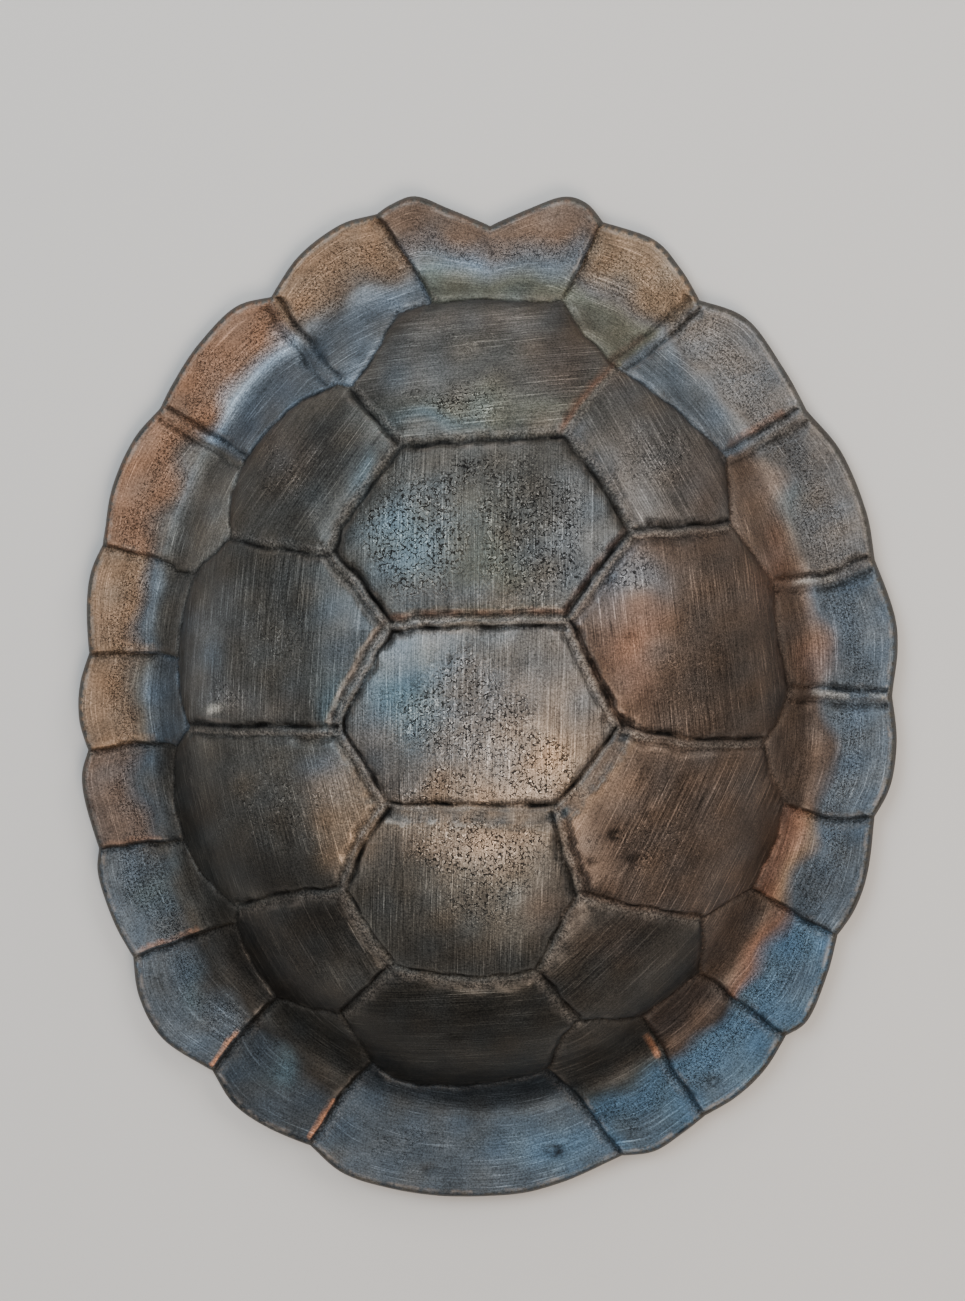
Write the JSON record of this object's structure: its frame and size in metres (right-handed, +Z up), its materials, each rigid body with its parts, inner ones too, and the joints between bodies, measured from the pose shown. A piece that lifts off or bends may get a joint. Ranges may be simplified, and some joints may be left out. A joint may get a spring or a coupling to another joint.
{
  "type": "sea turtle shell",
  "caption": "Domed turtle carapace with large scutes inside a scalloped, upturned brim, hollow underneath, in dark brushed cast metal",
  "frame": {"origin": "centre of the bounding box at the level of the flat ring that the shell rests on", "axes": "+Y towards the head end with its notch, +X towards the right side as seen from above, +Z up through the dome"},
  "size_m": [0.3712, 0.4544, 0.1007],
  "materials": {
    "patinated_metal": "dark brown-black patina with blue-grey and copper tints, finely brushed, pitted, grooves rough and darker"
  },
  "bodies": {
    "root": {"carapace": "patinated_metal"}
  },
  "joints": []
}
